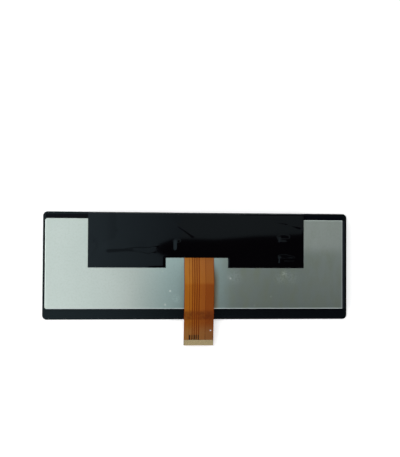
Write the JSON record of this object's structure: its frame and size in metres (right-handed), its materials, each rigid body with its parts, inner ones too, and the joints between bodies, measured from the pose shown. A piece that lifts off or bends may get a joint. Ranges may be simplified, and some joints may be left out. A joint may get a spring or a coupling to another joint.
{
  "type": "bar display module",
  "caption": "Long bar-shaped liquid-crystal display module, lying face down: cover glass, backlight with a metal back plate, folded flex under a black film, flex tail with contacts.",
  "frame": {"origin": "middle of the cover glass's front face, which is the face that the module lies on", "axes": "+Z out of the module's back, +Y towards the ledge and the flex's fold, +X along the long side, to the right when looking at the back with the fold at the top"},
  "size_m": [0.211, 0.0916, 0.0081],
  "materials": {
    "cover_glass": "clear glass, ground edges, black border printed on the back",
    "optical_adhesive": "clear soft adhesive sheet",
    "polarizer": "dark glossy film",
    "display_glass": "thin glass with cut edges",
    "chip": "bare silicon, polished",
    "black_tape": "black tape",
    "prism_film": "clear film with fine ridges",
    "diffuser": "frosted white film",
    "light_guide": "clear moulded sheet",
    "reflector": "white film",
    "frame_plastic": "dark moulded plastic",
    "steel_sheet": "pressed sheet, satin, a few bright dents",
    "led_strip": "white-faced printed strip",
    "led_package": "moulded white plastic with a yellow window",
    "polyimide_flex": "amber polyimide over copper",
    "stiffener": "thick polyimide",
    "gold_contact": "gold-plated copper",
    "flex_tape": "double-sided tape",
    "insulating_film": "glossy black polyester film, slightly wavy",
    "capacitor_body": "tan ceramic with tinned ends",
    "resistor_body": "black with tinned ends",
    "diode_body": "black moulded body with tinned leads"
  },
  "bodies": {
    "root": {"cover_lens": "cover_glass", "lens_adhesive": "optical_adhesive", "front_polarizer": "polarizer", "color_filter_glass": "display_glass", "tft_glass": "display_glass", "rear_polarizer": "polarizer", "rim_tape": "black_tape", "upper_prism_film": "prism_film", "lower_prism_film": "prism_film", "diffuser_film": "diffuser", "light_guide": "light_guide", "reflector_sheet": "reflector", "backlight_flex": "led_strip", "backlight_frame": "frame_plastic", "back_plate": "steel_sheet", "flex_tape": "flex_tape", "main_flex": "polyimide_flex", "tail_stiffener": "stiffener", "contact_fingers": "gold_contact", "flex_cover_film": "insulating_film", "driver_chip_1": "chip", "driver_chip_2": "chip", "driver_chip_3": "chip", "led_1": "led_package", "led_2": "led_package", "led_3": "led_package", "led_4": "led_package", "led_5": "led_package", "led_6": "led_package", "led_7": "led_package", "led_8": "led_package", "led_9": "led_package", "led_10": "led_package", "led_11": "led_package", "led_12": "led_package", "led_13": "led_package", "led_14": "led_package", "led_15": "led_package", "led_16": "led_package", "led_17": "led_package", "led_18": "led_package", "capacitor_1": "capacitor_body", "capacitor_2": "capacitor_body", "capacitor_3": "capacitor_body", "capacitor_4": "capacitor_body", "capacitor_5": "capacitor_body", "capacitor_6": "capacitor_body", "capacitor_7": "capacitor_body", "capacitor_8": "capacitor_body", "capacitor_9": "capacitor_body", "capacitor_10": "capacitor_body", "resistor_1": "resistor_body", "resistor_2": "resistor_body", "resistor_3": "resistor_body", "resistor_4": "resistor_body", "diode_1": "diode_body", "diode_2": "diode_body"}
  },
  "joints": []
}
